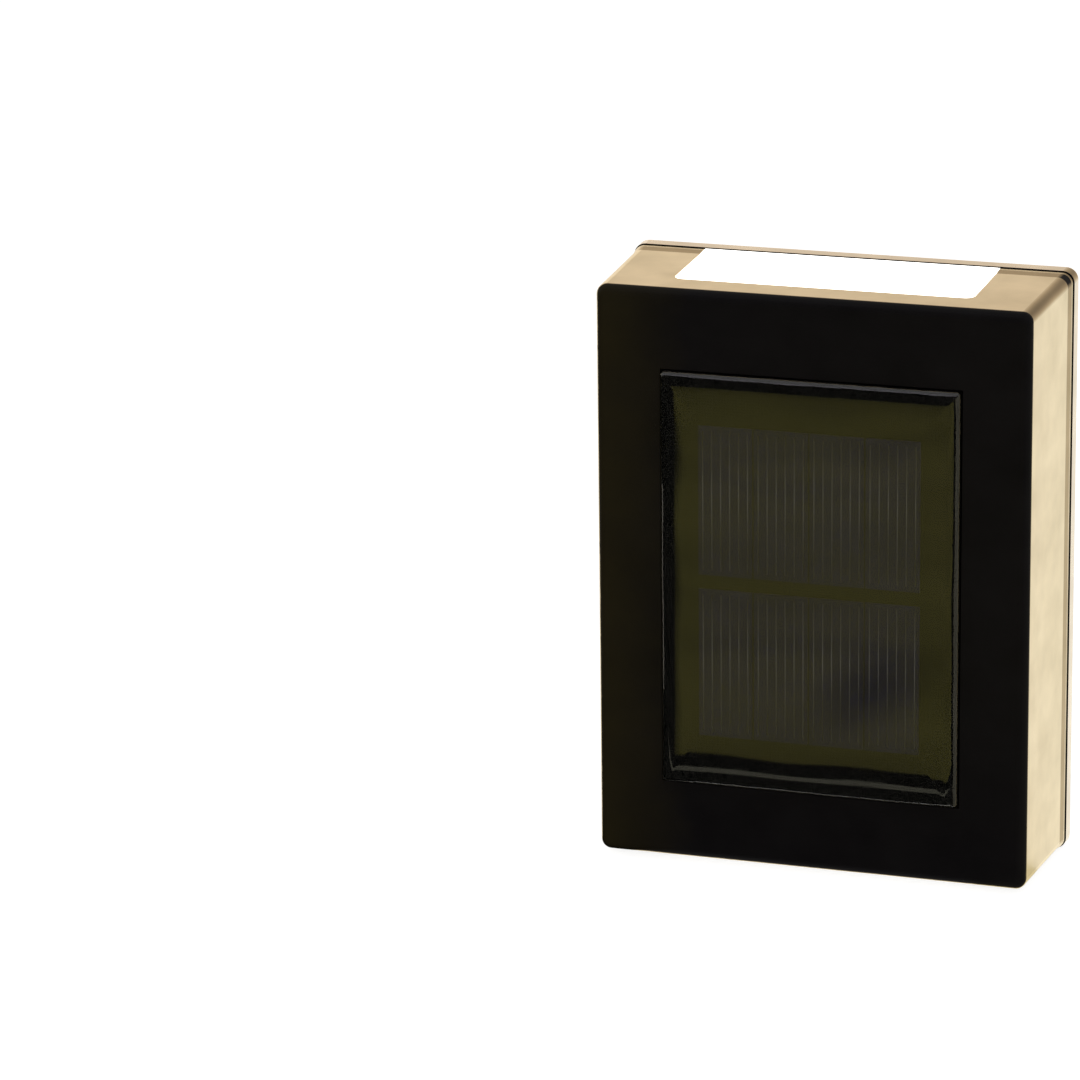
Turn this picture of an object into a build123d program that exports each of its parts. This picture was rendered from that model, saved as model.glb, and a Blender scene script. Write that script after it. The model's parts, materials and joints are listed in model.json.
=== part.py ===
from build123d import *
from math import atan2, degrees, radians, tan
import os

# A solar fence light that shines up and down. Lengths are in millimetres.
# X runs to the right as the light is seen from the front, Y runs back towards the fence, Z is up.
# The origin is the centre of the flat rear face. "Depth" is a distance in front of that face.

# ---- Outside ---------------------------------------------------------------------------------
body_width = 82.4           # of the housing, carried on to the rear face
body_height = 109.35        # of the housing, carried on to the rear face
body_depth = 31.0           # rear face to housing front face, without the panel's resin
draft_angle = 1.8           # each side narrows towards the front by this angle, in degrees
rim_flare = 0.15            # the rim stands this far outside the line of the walls
rim_depth = 4.6             # rear face to the front of the straight rim
flare_length = 2.0          # the walls run out to the rim over this length
corner_radius = 2.0         # the four corners seen from the front
least_corner_radius = 0.5   # where that rounding is carried inwards
front_edge_radius = 1.7     # rounding round the front face
rear_edge_radius = 0.8      # rounding round the rear face

# ---- Shell -----------------------------------------------------------------------------------
side_wall = 2.0             # housing wall at its thin front end
front_wall = 2.4
cavity_radius = 1.5
cover_rim = 3.5             # depth of the joint between cover and housing
cover_plate = 2.0
cover_land = 3.6            # solid border inside the cover's edge, before the hollow starts
seam_gap = 0.35             # shadow line between housing and cover
cover_margin = 0.2          # the cover stands this far outside the housing
cover_edge_radius = 0.15    # rounding of its front edge
seam_recess = 0.6
root = 0.6                  # how far ribs and bosses run into the wall that carries them
rib = 1.5                   # plain ribs and partitions

# ---- Cover seal, tongue and groove -----------------------------------------------------------
groove_inset = 1.0          # from the outer surface to the groove
groove_width = 1.2
groove_length = 2.5
tongue_clearance = 0.1
tongue_length = 1.6

# ---- Cover screws ----------------------------------------------------------------------------
screw_radius = 1.45
screw_length = 11.0
screw_head_radius = 2.7
screw_head_height = 1.7
screw_recess = 2.0          # counterbore in the cover
screw_clearance = 0.15
drive_radius = 1.0          # hexagon socket across its corners
drive_depth = 1.0
pilot_clearance = 0.05
boss_wall = 2.1
boss_gap = 0.6              # from the boss to the cavity's wall

# ---- Window and light box, top and bottom ----------------------------------------------------
window_side_margin = 13.5   # rear-face edge to window
window_front_margin = 7.4   # front face to window
window_corner = 1.8
lens_clearance = 0.1
lens_flange = 1.6           # flange beyond the window
flange_thickness = 1.2
seal_thickness = 0.5
tray_height = 11.0
tray_wall = 1.2
tray_rear_gap = 0.4         # tray to cover
led_board_width = 48.0
led_board_depth = 11.0
led_board_thickness = 1.0
led_count = 4
led_pitch = 12.0
led_width = 3.5
led_depth = 2.8
led_height = 0.8
lead_port_width = 5.0       # holes that pass the leads
lead_port_height = 3.0
lead_port_corner = 1.0

# ---- Solar panel -----------------------------------------------------------------------------
panel_side_margin = 13.45   # rear-face edge to panel, seen from the front
panel_end_margin = 15.9
panel_corner = 0.6
panel_clearance = 0.15
panel_recess = 1.2
adhesive_thickness = 0.3
adhesive_inset = 1.0
panel_board_thickness = 1.0
cell_thickness = 0.2
cell_rows = 2
cell_columns = 4
cell_side_margin = 7.2      # panel edge to cells
cell_end_margin = 9.6
cell_column_gap = 0.3
cell_row_gap = 2.6
resin_thickness = 1.8
resin_roll = 1.6            # rolled edge of the resin

# ---- Battery and holder ----------------------------------------------------------------------
battery_radius = 7.0
battery_length = 49.2
battery_edge = 0.6
nub_radius = 2.7
nub_length = 1.0
battery_clearance = 0.25
holder_wall = 1.2
holder_tape = 0.8
holder_rim = 5.4            # how much of the battery stands above the holder's rim
holder_drop = 3.2           # light box partition to holder
contact_thickness = 0.4
contact_height = 10.0
spring_length = 4.0
spring_wire = 0.35          # wire radius
spring_top_radius = 2.2
spring_base_radius = 4.4
spring_turns = 3
battery_rib_offset = 12.0   # cover ribs that keep the battery in, each side of the middle
battery_rib_gap = 0.3
battery_rib_length = 12.0

# ---- Control board ---------------------------------------------------------------------------
board_depth = 13.0          # depth of the board's rear side
board_thickness = 1.6
board_width = 44.0
board_holder_gap = 1.8      # board edge to battery holder
board_top_gap = 3.5         # board edge to upper partition
post_radius = 2.6
post_inset_x = 4.0
post_inset_z = 4.2
board_screw_radius = 1.1
board_screw_length = 7.0
board_screw_head_radius = 2.0
board_screw_head_height = 1.3
controller_width = 5.0
controller_height = 4.0
controller_thickness = 1.5
inductor_size = 6.0
inductor_thickness = 3.0
inductor_corner = 1.2
capacitor_radius = 2.5
capacitor_height = 5.5
part_spacing = 11.0         # sideways from the middle of the board to its large components

# ---- Power switch ----------------------------------------------------------------------------
button_radius = 4.4
button_clearance = 0.05
button_travel = 1.2
button_height_over_dish = 0.8
dish_radius = 6.5
dish_depth = 1.2
switch_margin = 2.4         # switch to the control board's lower edge
button_flange_radius = 5.3
button_flange_thickness = 0.8
collar_wall = 1.6
seal_ring_width = 0.9       # along the button
seal_ring_depth = 0.8       # into the button
seal_ring_clearance = 0.02
seal_ring_inset = 0.9       # behind the button's face
switch_size = 8.0
plunger_size = 3.0
plunger_entry = 2.0         # plunger inside the switch when the button is out
switch_edge = 0.5

# ---- Keyholes for hanging --------------------------------------------------------------------
keyhole_spacing = 40.0
keyhole_rise = 20.0         # entry holes above the middle of the rear face
keyhole_radius = 3.75       # passes a 7 mm screw head
keyhole_slot_width = 4.4    # passes a 4 mm screw shank
keyhole_slot_rise = 7.0     # entry hole to the slot's end, centre to centre
keyhole_pocket_depth = 3.6
keyhole_pocket_margin = 0.8
keyhole_pocket_wall = 1.2

# ---- Leads -----------------------------------------------------------------------------------
lead_radius = 0.6
lead_bend = 1.8
lead_spacing = 2.0          # between the two leads of a pair
lead_gap = 0.25             # least air round a lead beside a wall
led_lead_stand_off = 3.0    # control board's front side to the leads' runs
battery_lead_stand_off = 5.6
lead_post_gap = 3.0         # board post to the battery leads' run

# ---- Sizes and places that follow ------------------------------------------------------------
narrowing = tan(radians(draft_angle))


def outer_inset(depth):
    """How far the outer surface at a depth lies inside the outline of the rear face."""
    flare = min(max((depth - rim_depth) / flare_length, 0), 1)
    return depth * narrowing + rim_flare * flare


def outer_width(depth):
    """Outside width of the drafted body at a depth."""
    return body_width - 2 * outer_inset(depth)


def outer_height(depth):
    """Outside height of the drafted body at a depth."""
    return body_height - 2 * outer_inset(depth)


cavity_width = outer_width(body_depth) - 2 * side_wall
cavity_height = outer_height(body_depth) - 2 * side_wall
inner_front = body_depth - front_wall
boss_radius = screw_radius + boss_wall
boss_x = cavity_width / 2 - boss_radius - boss_gap
boss_z = cavity_height / 2 - boss_radius - boss_gap

window_width = body_width - 2 * window_side_margin
window_front = body_depth - window_front_margin
lens_rear = cover_rim + lens_clearance / 2
flange_top = cavity_height / 2 - seal_thickness
flange_width = window_width + 2 * lens_flange
flange_front = window_front + lens_flange
tray_top = flange_top - flange_thickness
tray_floor = tray_top - tray_height
tray_rear = cover_rim + tray_rear_gap
tray_length = flange_front - tray_rear
led_board_z = tray_floor + tray_wall
light_middle = (tray_rear + flange_front) / 2
partition_z = tray_floor - rib / 2
partition_rear = tray_rear + tray_wall
lead_port_x = led_board_width / 2 - lead_port_width / 2
lead_port_depth = light_middle + led_board_depth / 2 - lead_port_height / 2

panel_width = body_width - 2 * panel_side_margin
panel_height = body_height - 2 * panel_end_margin
recess_floor = body_depth - panel_recess
panel_board_back = recess_floor + adhesive_thickness
resin_back = panel_board_back + panel_board_thickness
cell_width = (panel_width - 2 * cell_side_margin - (cell_columns - 1) * cell_column_gap) / cell_columns
cell_height = (panel_height - 2 * cell_end_margin - (cell_rows - 1) * cell_row_gap) / cell_rows

holder_inner_length = 2 * contact_thickness + battery_length + nub_length + spring_length
holder_length = holder_inner_length + 2 * holder_wall
holder_inner_height = 2 * (battery_radius + battery_clearance)
holder_height = holder_inner_height + 2 * holder_wall
holder_z = rib - tray_floor + holder_drop + holder_height / 2
holder_front = inner_front - holder_tape
battery_depth = holder_front - holder_wall - battery_radius - battery_clearance
battery_back = battery_depth - battery_radius
holder_back = battery_back + holder_rim
battery_end = holder_inner_length / 2 - contact_thickness
spring_height = spring_length - 2 * spring_wire
spring_taper = degrees(atan2(spring_base_radius - spring_top_radius, spring_height))

board_front = board_depth + board_thickness
board_bottom = holder_z + holder_height / 2 + board_holder_gap
board_top = tray_floor - rib - board_top_gap
board_height = board_top - board_bottom
board_z = (board_top + board_bottom) / 2
post_x = board_width / 2 - post_inset_x
post_z = board_height / 2 - post_inset_z
component_z = board_z + post_z / 4

button_z = board_bottom + switch_margin + switch_size / 2
button_back = dish_depth - button_height_over_dish
button_flange_back = cover_rim + button_clearance
button_flange_front = button_flange_back + button_flange_thickness
switch_back = button_flange_front + button_travel + switch_edge
keyhole_z = keyhole_rise + keyhole_slot_rise / 2
keyhole_pocket_width = 2 * (keyhole_radius + keyhole_pocket_margin)
keyhole_pocket_height = keyhole_pocket_width + keyhole_slot_rise


def layer(depth):
    """The plane parallel to the rear face at a depth; extrusions from it run to the front."""
    return Plane.XZ.offset(depth)


def spot(x, depth, z):
    """A point given by its depth instead of its Y."""
    return Vector(x, -depth, z)


def finish(piece, name):
    """Label a finished piece and write its file."""
    piece.label = name
    export_step(piece, f"parts/{name}.step")


def body_outline(depth, inset=0.0):
    """The body's rounded outline at a depth, drawn in the current sketch."""
    RectangleRounded(
        outer_width(depth) - 2 * inset,
        outer_height(depth) - 2 * inset,
        max(corner_radius - inset, least_corner_radius),
    )


def walls_between(rear, front):
    """The solid inside the outer surface from one depth to another."""
    with BuildPart() as block:
        for depth in (rear, rim_depth, rim_depth + flare_length, front):
            with BuildSketch(layer(depth)):
                body_outline(depth)
        loft(ruled=True)
    return block.part


def groove_ring(clearance):
    """Outline of the seal groove, or of what fits in it, drawn in the current sketch."""
    body_outline(cover_rim, groove_inset + clearance)
    with BuildSketch(mode=Mode.PRIVATE) as island:
        body_outline(cover_rim, groove_inset + groove_width - clearance)
    add(island.sketch, mode=Mode.SUBTRACT)


def lead(*route):
    """An insulated lead along a route of (x, depth, z) points, with rounded bends."""
    with BuildPart() as wire:
        with BuildLine() as path:
            FilletPolyline(*[spot(*point) for point in route], radius=lead_bend)
        with BuildSketch(Plane(path.line @ 0, z_dir=path.line % 0)):
            Circle(lead_radius)
        sweep()
    return wire.part


os.makedirs("parts", exist_ok=True)

# ---- Front housing: drafted shell, open at the rear ------------------------------------------
with BuildPart() as front_housing:
    add(walls_between(cover_rim, body_depth))
    fillet(front_housing.faces().sort_by(Axis.Y)[0].edges(), front_edge_radius)
    with BuildSketch(layer(cover_rim)):
        RectangleRounded(cavity_width, cavity_height, cavity_radius)
    extrude(amount=inner_front - cover_rim, mode=Mode.SUBTRACT)
    # windows through the top and bottom walls, open to the rear edge
    with BuildSketch():
        with Locations((0, -(window_front + cover_rim) / 2)):
            RectangleRounded(window_width, window_front - cover_rim, window_corner)
        with Locations((0, -cover_rim - window_corner)):
            Rectangle(window_width, 2 * window_corner)
    extrude(amount=body_height / 2, both=True, mode=Mode.SUBTRACT)
    # partitions that carry the light boxes
    with BuildSketch(layer(partition_rear)):
        with Locations((0, partition_z), (0, -partition_z)):
            Rectangle(cavity_width + 2 * root, rib)
    extrude(amount=inner_front - partition_rear + root)
    # bosses for the cover screws, and posts for the control board
    with BuildSketch(layer(cover_rim)):
        with GridLocations(2 * boss_x, 2 * boss_z, 2, 2):
            Circle(boss_radius)
    extrude(amount=inner_front - cover_rim + root)
    with BuildSketch(layer(board_front)):
        with Locations((-post_x, board_z + post_z), (post_x, board_z - post_z)):
            Circle(post_radius)
    extrude(amount=inner_front - board_front + root)
    with BuildSketch(layer(cover_rim)):
        with GridLocations(2 * boss_x, 2 * boss_z, 2, 2):
            Circle(screw_radius + pilot_clearance)
    extrude(amount=screw_length, mode=Mode.SUBTRACT)
    with BuildSketch(layer(board_front)):
        with Locations((-post_x, board_z + post_z), (post_x, board_z - post_z)):
            Circle(board_screw_radius + pilot_clearance)
    extrude(amount=board_screw_length, mode=Mode.SUBTRACT)
    # lead ports through the partitions
    with BuildSketch(layer(lead_port_depth - lead_port_height / 2)):
        with Locations((lead_port_x, partition_z), (lead_port_x, -partition_z)):
            Rectangle(lead_port_width, rib)
    extrude(amount=lead_port_height, mode=Mode.SUBTRACT)
    # groove for the seal, and the shadow line outside it
    with BuildSketch(layer(cover_rim)):
        groove_ring(0)
    extrude(amount=groove_length, mode=Mode.SUBTRACT)
    with BuildSketch(layer(cover_rim)):
        body_outline(0, -seam_recess)
        with BuildSketch(mode=Mode.PRIVATE) as seam_core:
            body_outline(cover_rim, seam_recess)
        add(seam_core.sketch, mode=Mode.SUBTRACT)
    extrude(amount=seam_gap, mode=Mode.SUBTRACT)
    # seat for the solar panel, and the port for its leads
    with BuildSketch(layer(recess_floor)):
        Rectangle(panel_width + 2 * panel_clearance, panel_height + 2 * panel_clearance)
    extrude(amount=panel_recess, mode=Mode.SUBTRACT)
    with BuildSketch(layer(inner_front)):
        with Locations((0, component_z)):
            RectangleRounded(2 * lead_port_width, lead_port_height, lead_port_corner)
    extrude(amount=front_wall, mode=Mode.SUBTRACT)
finish(front_housing.part, "front_housing")

# ---- Rear cover: lid with a tongue, keyholes, a button collar and screw recesses ---------------
with BuildPart() as rear_cover:
    with BuildSketch(layer(0)):
        body_outline(0, -cover_margin)
    with BuildSketch(layer(cover_rim)):
        body_outline(cover_rim, -cover_margin)
    loft()
    fillet(rear_cover.faces().sort_by(Axis.Y)[-1].edges(), rear_edge_radius)
    fillet(rear_cover.faces().sort_by(Axis.Y)[0].edges(), cover_edge_radius)
    # hollow inside, which leaves solid pads at the four screws
    with BuildSketch(layer(cover_plate)):
        Rectangle(2 * (boss_x - boss_radius), body_height - 2 * cover_land)
        Rectangle(body_width - 2 * cover_land, 2 * (boss_z - boss_radius))
    extrude(amount=cover_rim - cover_plate, mode=Mode.SUBTRACT)
    with BuildSketch(layer(cover_rim)):
        groove_ring(tongue_clearance)
    extrude(amount=tongue_length)
    # collar round the button, ribs that keep the battery in, pockets behind the keyholes
    with BuildSketch(layer(cover_plate)):
        with Locations((0, button_z)):
            Circle(button_radius + button_clearance + collar_wall)
    extrude(amount=cover_rim - cover_plate)
    with BuildSketch(layer(cover_plate)):
        with Locations((-battery_rib_offset, holder_z), (battery_rib_offset, holder_z)):
            Rectangle(rib, battery_rib_length)
    extrude(amount=battery_back - battery_rib_gap - cover_plate)
    with BuildSketch(layer(cover_plate)):
        with Locations((-keyhole_spacing / 2, keyhole_z), (keyhole_spacing / 2, keyhole_z)):
            Rectangle(
                keyhole_pocket_width + 2 * keyhole_pocket_wall,
                keyhole_pocket_height + 2 * keyhole_pocket_wall,
            )
    extrude(amount=keyhole_pocket_depth + keyhole_pocket_wall)
    with BuildSketch(layer(cover_plate)):
        with Locations((-keyhole_spacing / 2, keyhole_z), (keyhole_spacing / 2, keyhole_z)):
            Rectangle(keyhole_pocket_width, keyhole_pocket_height)
    extrude(amount=keyhole_pocket_depth, mode=Mode.SUBTRACT)
    with BuildSketch(layer(0)):
        with Locations((-keyhole_spacing / 2, keyhole_rise), (keyhole_spacing / 2, keyhole_rise)):
            Circle(keyhole_radius)
        with Locations((-keyhole_spacing / 2, keyhole_z), (keyhole_spacing / 2, keyhole_z)):
            SlotCenterToCenter(keyhole_slot_rise, keyhole_slot_width, rotation=90)
    extrude(amount=cover_plate, mode=Mode.SUBTRACT)
    # recesses for the screws' heads, and their holes
    with BuildSketch(layer(0)):
        with GridLocations(2 * boss_x, 2 * boss_z, 2, 2):
            Circle(screw_head_radius + screw_clearance)
    extrude(amount=screw_recess, mode=Mode.SUBTRACT)
    with BuildSketch(layer(screw_recess)):
        with GridLocations(2 * boss_x, 2 * boss_z, 2, 2):
            Circle(screw_radius + screw_clearance)
    extrude(amount=cover_rim - screw_recess, mode=Mode.SUBTRACT)
    # shallow dish for a fingertip, and the button's bore
    with BuildSketch(layer(0)):
        with Locations((0, button_z)):
            Circle(dish_radius)
    extrude(amount=dish_depth, mode=Mode.SUBTRACT)
    with BuildSketch(layer(dish_depth)):
        with Locations((0, button_z)):
            Circle(button_radius + button_clearance)
    extrude(amount=cover_rim - dish_depth, mode=Mode.SUBTRACT)
finish(rear_cover.part, "rear_cover")

# ---- Cover seal: soft cord pressed to the bottom of the groove ---------------------------------
with BuildPart() as cover_seal:
    with BuildSketch(layer(cover_rim + tongue_length)):
        groove_ring(0)
    extrude(amount=groove_length - tongue_length)
finish(cover_seal.part, "cover_seal")

# ---- Cover screws: four alike, with hexagon sockets --------------------------------------------
with BuildPart() as cover_screws:
    with BuildSketch(layer(screw_recess - screw_head_height)):
        with GridLocations(2 * boss_x, 2 * boss_z, 2, 2):
            Circle(screw_head_radius)
    extrude(amount=screw_head_height)
    with BuildSketch(layer(screw_recess)):
        with GridLocations(2 * boss_x, 2 * boss_z, 2, 2):
            Circle(screw_radius)
    extrude(amount=screw_length)
    with BuildSketch(layer(screw_recess - screw_head_height)):
        with GridLocations(2 * boss_x, 2 * boss_z, 2, 2):
            RegularPolygon(drive_radius, 6)
    extrude(amount=drive_depth, mode=Mode.SUBTRACT)
finish(cover_screws.part, "cover_screws")

# ---- Upper window: diffusing lens with a flange, its seal, tray, board and LEDs ----------------
with BuildPart() as upper_lens:
    add(walls_between(lens_rear, window_front - lens_clearance))
    with BuildSketch(Plane.XY.offset(flange_top)):
        with Locations((0, -(window_front - lens_clearance + lens_rear) / 2)):
            RectangleRounded(
                window_width - 2 * lens_clearance,
                window_front - lens_clearance - lens_rear,
                window_corner - lens_clearance,
            )
        with Locations((0, -lens_rear - window_corner)):
            Rectangle(window_width - 2 * lens_clearance, 2 * window_corner)
    extrude(amount=body_height / 2 - flange_top, mode=Mode.INTERSECT)
    with BuildSketch(layer(lens_rear)):
        with Locations((0, flange_top - flange_thickness / 2)):
            Rectangle(flange_width, flange_thickness)
    extrude(amount=flange_front - lens_rear)
    with BuildSketch(layer(lens_rear)):
        groove_ring(0)
    extrude(amount=cover_rim + groove_length - lens_rear, mode=Mode.SUBTRACT)
finish(upper_lens.part, "upper_lens")

with BuildPart() as upper_lens_seal:
    with BuildSketch(Plane.XY.offset(flange_top)):
        with Locations((0, -(flange_front + lens_rear) / 2)):
            Rectangle(flange_width, flange_front - lens_rear)
        with Locations((0, -(window_front + lens_rear) / 2)):
            Rectangle(window_width, window_front - lens_rear, mode=Mode.SUBTRACT)
    extrude(amount=seal_thickness)
finish(upper_lens_seal.part, "upper_lens_seal")

with BuildPart() as upper_light_tray:
    with BuildSketch(layer(tray_rear)):
        with Locations((0, (tray_top + tray_floor) / 2)):
            Rectangle(flange_width, tray_height)
    extrude(amount=tray_length)
    with BuildSketch(layer(tray_rear + tray_wall)):
        with Locations((0, (tray_top + led_board_z) / 2)):
            Rectangle(flange_width - 2 * tray_wall, tray_top - led_board_z)
    extrude(amount=tray_length - 2 * tray_wall, mode=Mode.SUBTRACT)
    with BuildSketch(layer(lead_port_depth - lead_port_height / 2)):
        with Locations((lead_port_x, tray_floor + tray_wall / 2)):
            Rectangle(lead_port_width, tray_wall)
    extrude(amount=lead_port_height, mode=Mode.SUBTRACT)
finish(upper_light_tray.part, "upper_light_tray")

with BuildPart() as upper_led_board:
    with BuildSketch(Plane.XY.offset(led_board_z)):
        with Locations((0, -light_middle)):
            Rectangle(led_board_width, led_board_depth)
    extrude(amount=led_board_thickness)
finish(upper_led_board.part, "upper_led_board")

with BuildPart() as upper_leds:
    with BuildSketch(Plane.XY.offset(led_board_z + led_board_thickness)):
        with Locations((0, -light_middle)):
            with GridLocations(led_pitch, led_depth, led_count, 1):
                Rectangle(led_width, led_depth)
    extrude(amount=led_height)
finish(upper_leds.part, "upper_leds")

# ---- Lower window: the same pieces, mirrored ---------------------------------------------------
with BuildPart() as lower_lens:
    mirror(upper_lens.part, about=Plane.XY)
finish(lower_lens.part, "lower_lens")

with BuildPart() as lower_lens_seal:
    mirror(upper_lens_seal.part, about=Plane.XY)
finish(lower_lens_seal.part, "lower_lens_seal")

with BuildPart() as lower_light_tray:
    mirror(upper_light_tray.part, about=Plane.XY)
finish(lower_light_tray.part, "lower_light_tray")

with BuildPart() as lower_led_board:
    mirror(upper_led_board.part, about=Plane.XY)
finish(lower_led_board.part, "lower_led_board")

with BuildPart() as lower_leds:
    mirror(upper_leds.part, about=Plane.XY)
finish(lower_leds.part, "lower_leds")

# ---- Solar panel: adhesive, board, cells and clear resin ---------------------------------------
with BuildPart() as panel_adhesive:
    with BuildSketch(layer(recess_floor)):
        Rectangle(panel_width - 2 * adhesive_inset, panel_height - 2 * adhesive_inset)
        with Locations((0, component_z)):
            RectangleRounded(
                2 * lead_port_width, lead_port_height, lead_port_corner, mode=Mode.SUBTRACT
            )
    extrude(amount=adhesive_thickness)
finish(panel_adhesive.part, "panel_adhesive")

with BuildPart() as panel_board:
    with BuildSketch(layer(panel_board_back)):
        RectangleRounded(panel_width, panel_height, panel_corner)
    extrude(amount=panel_board_thickness)
finish(panel_board.part, "panel_board")

with BuildPart() as solar_cells:
    with BuildSketch(layer(resin_back)):
        with GridLocations(
            cell_width + cell_column_gap, cell_height + cell_row_gap, cell_columns, cell_rows
        ):
            Rectangle(cell_width, cell_height)
    extrude(amount=cell_thickness)
finish(solar_cells.part, "solar_cells")

with BuildPart() as panel_resin:
    with BuildSketch(layer(resin_back)):
        RectangleRounded(panel_width, panel_height, panel_corner)
    extrude(amount=resin_thickness)
    fillet(panel_resin.faces().sort_by(Axis.Y)[0].edges(), resin_roll)
    add(solar_cells.part, mode=Mode.SUBTRACT)
finish(panel_resin.part, "panel_resin")

# ---- Battery, its holder and contacts ----------------------------------------------------------
with BuildPart() as battery:
    with BuildSketch(Plane.YZ.offset(battery_end)):
        with Locations((-battery_depth, holder_z)):
            Circle(nub_radius)
    extrude(amount=-nub_length)
    with BuildSketch(Plane.YZ.offset(battery_end - nub_length)):
        with Locations((-battery_depth, holder_z)):
            Circle(battery_radius)
    extrude(amount=-battery_length)
    fillet(battery.edges().filter_by(GeomType.CIRCLE).sort_by(SortBy.RADIUS)[-2:], battery_edge)
finish(battery.part, "battery")

with BuildPart() as battery_holder:
    with BuildSketch(layer(holder_back)):
        with Locations((0, holder_z)):
            Rectangle(holder_length, holder_height)
    extrude(amount=holder_front - holder_back)
    with BuildSketch(layer(holder_back)):
        with Locations((0, holder_z)):
            Rectangle(holder_inner_length, holder_inner_height)
    extrude(amount=holder_front - holder_wall - holder_back, mode=Mode.SUBTRACT)
    with BuildSketch(Plane.YZ):
        with Locations((-battery_depth, holder_z)):
            Circle(lead_radius + battery_clearance)
    extrude(amount=holder_length / 2, both=True, mode=Mode.SUBTRACT)
finish(battery_holder.part, "battery_holder")

with BuildPart() as holder_pad:
    with BuildSketch(layer(holder_front)):
        with Locations((0, holder_z)):
            Rectangle(holder_length - 2 * holder_wall, holder_height - 2 * holder_wall)
    extrude(amount=holder_tape)
finish(holder_pad.part, "holder_pad")

with BuildPart() as positive_contact:
    with BuildSketch(Plane.YZ.offset(battery_end)):
        with Locations((-battery_depth, holder_z)):
            Rectangle(contact_height, contact_height)
    extrude(amount=contact_thickness)
finish(positive_contact.part, "positive_contact")

with BuildPart() as negative_contact:
    with BuildSketch(Plane.YZ.offset(-battery_end - contact_thickness)):
        with Locations((-battery_depth, holder_z)):
            Rectangle(contact_height, contact_height)
    extrude(amount=contact_thickness)
finish(negative_contact.part, "negative_contact")

with BuildPart() as negative_spring:
    with BuildLine():
        coil = Helix(
            pitch=spring_height / spring_turns,
            height=spring_height,
            radius=spring_base_radius,
            center=(spring_wire - battery_end, -battery_depth, holder_z),
            direction=(1, 0, 0),
            cone_angle=-spring_taper,
        )
    with BuildSketch(Plane(coil @ 0, z_dir=coil % 0)):
        Circle(spring_wire)
    sweep(is_frenet=True)
finish(negative_spring.part, "negative_spring")

# ---- Control board and its parts ---------------------------------------------------------------
with BuildPart() as control_board:
    with BuildSketch(layer(board_depth)):
        with Locations((0, board_z)):
            Rectangle(board_width, board_height)
        with Locations((-post_x, board_z + post_z), (post_x, board_z - post_z)):
            Circle(board_screw_radius + screw_clearance, mode=Mode.SUBTRACT)
    extrude(amount=board_thickness)
finish(control_board.part, "control_board")

with BuildPart() as board_screws:
    with BuildSketch(layer(board_depth - board_screw_head_height)):
        with Locations((-post_x, board_z + post_z), (post_x, board_z - post_z)):
            Circle(board_screw_head_radius)
    extrude(amount=board_screw_head_height)
    with BuildSketch(layer(board_depth)):
        with Locations((-post_x, board_z + post_z), (post_x, board_z - post_z)):
            Circle(board_screw_radius)
    extrude(amount=board_screw_length)
finish(board_screws.part, "board_screws")

with BuildPart() as charge_controller:
    with BuildSketch(layer(board_depth - controller_thickness)):
        with Locations((0, component_z)):
            Rectangle(controller_width, controller_height)
    extrude(amount=controller_thickness)
finish(charge_controller.part, "charge_controller")

with BuildPart() as storage_inductor:
    with BuildSketch(layer(board_depth - inductor_thickness)):
        with Locations((-part_spacing, component_z)):
            RectangleRounded(inductor_size, inductor_size, inductor_corner)
    extrude(amount=inductor_thickness)
finish(storage_inductor.part, "storage_inductor")

with BuildPart() as capacitor:
    with BuildSketch(layer(board_depth - capacitor_height)):
        with Locations((part_spacing, component_z)):
            Circle(capacitor_radius)
    extrude(amount=capacitor_height)
finish(capacitor.part, "capacitor")

# ---- Power switch on the board, and the button in the cover ------------------------------------
with BuildPart() as power_switch:
    with BuildSketch(layer(switch_back)):
        with Locations((0, button_z)):
            Rectangle(switch_size, switch_size)
    extrude(amount=board_depth - switch_back)
    with BuildSketch(layer(switch_back)):
        with Locations((0, button_z)):
            Rectangle(plunger_size + 2 * button_clearance, plunger_size + 2 * button_clearance)
    extrude(amount=plunger_entry + button_travel + switch_edge, mode=Mode.SUBTRACT)
finish(power_switch.part, "power_switch")

with BuildPart() as switch_plunger:
    with BuildSketch(layer(button_flange_front)):
        with Locations((0, button_z)):
            Rectangle(plunger_size, plunger_size)
    extrude(amount=switch_back + plunger_entry - button_flange_front)
finish(switch_plunger.part, "switch_plunger")

with BuildPart() as power_button:
    with BuildSketch(layer(button_back)):
        with Locations((0, button_z)):
            Circle(button_radius)
    extrude(amount=button_flange_back - button_back)
    with BuildSketch(layer(button_flange_back)):
        with Locations((0, button_z)):
            Circle(button_flange_radius)
    extrude(amount=button_flange_thickness)
    with BuildSketch(layer(button_back + seal_ring_inset)):
        with Locations((0, button_z)):
            Circle(button_radius)
            Circle(button_radius - seal_ring_depth, mode=Mode.SUBTRACT)
    extrude(amount=seal_ring_width, mode=Mode.SUBTRACT)
finish(power_button.part, "power_button")

with BuildPart() as button_seal:
    with BuildSketch(layer(button_back + seal_ring_inset)):
        with Locations((0, button_z)):
            Circle(button_radius + button_clearance - seal_ring_clearance)
            Circle(button_radius - seal_ring_depth, mode=Mode.SUBTRACT)
    extrude(amount=seal_ring_width)
finish(button_seal.part, "button_seal")

# ---- Leads: pairs of insulated wires -----------------------------------------------------------
panel_lead_turn = (panel_board_back + board_front) / 2
panel_leads_end = component_z - 2 * lead_port_height
with BuildPart() as panel_leads:
    for side in (-1, 1):
        x = side * lead_spacing / 2
        add(
            lead(
                (x, panel_board_back, component_z),
                (x, panel_lead_turn, component_z),
                (x, panel_lead_turn, panel_leads_end),
                (x, board_front, panel_leads_end),
            )
        )
finish(panel_leads.part, "panel_leads")

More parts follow.
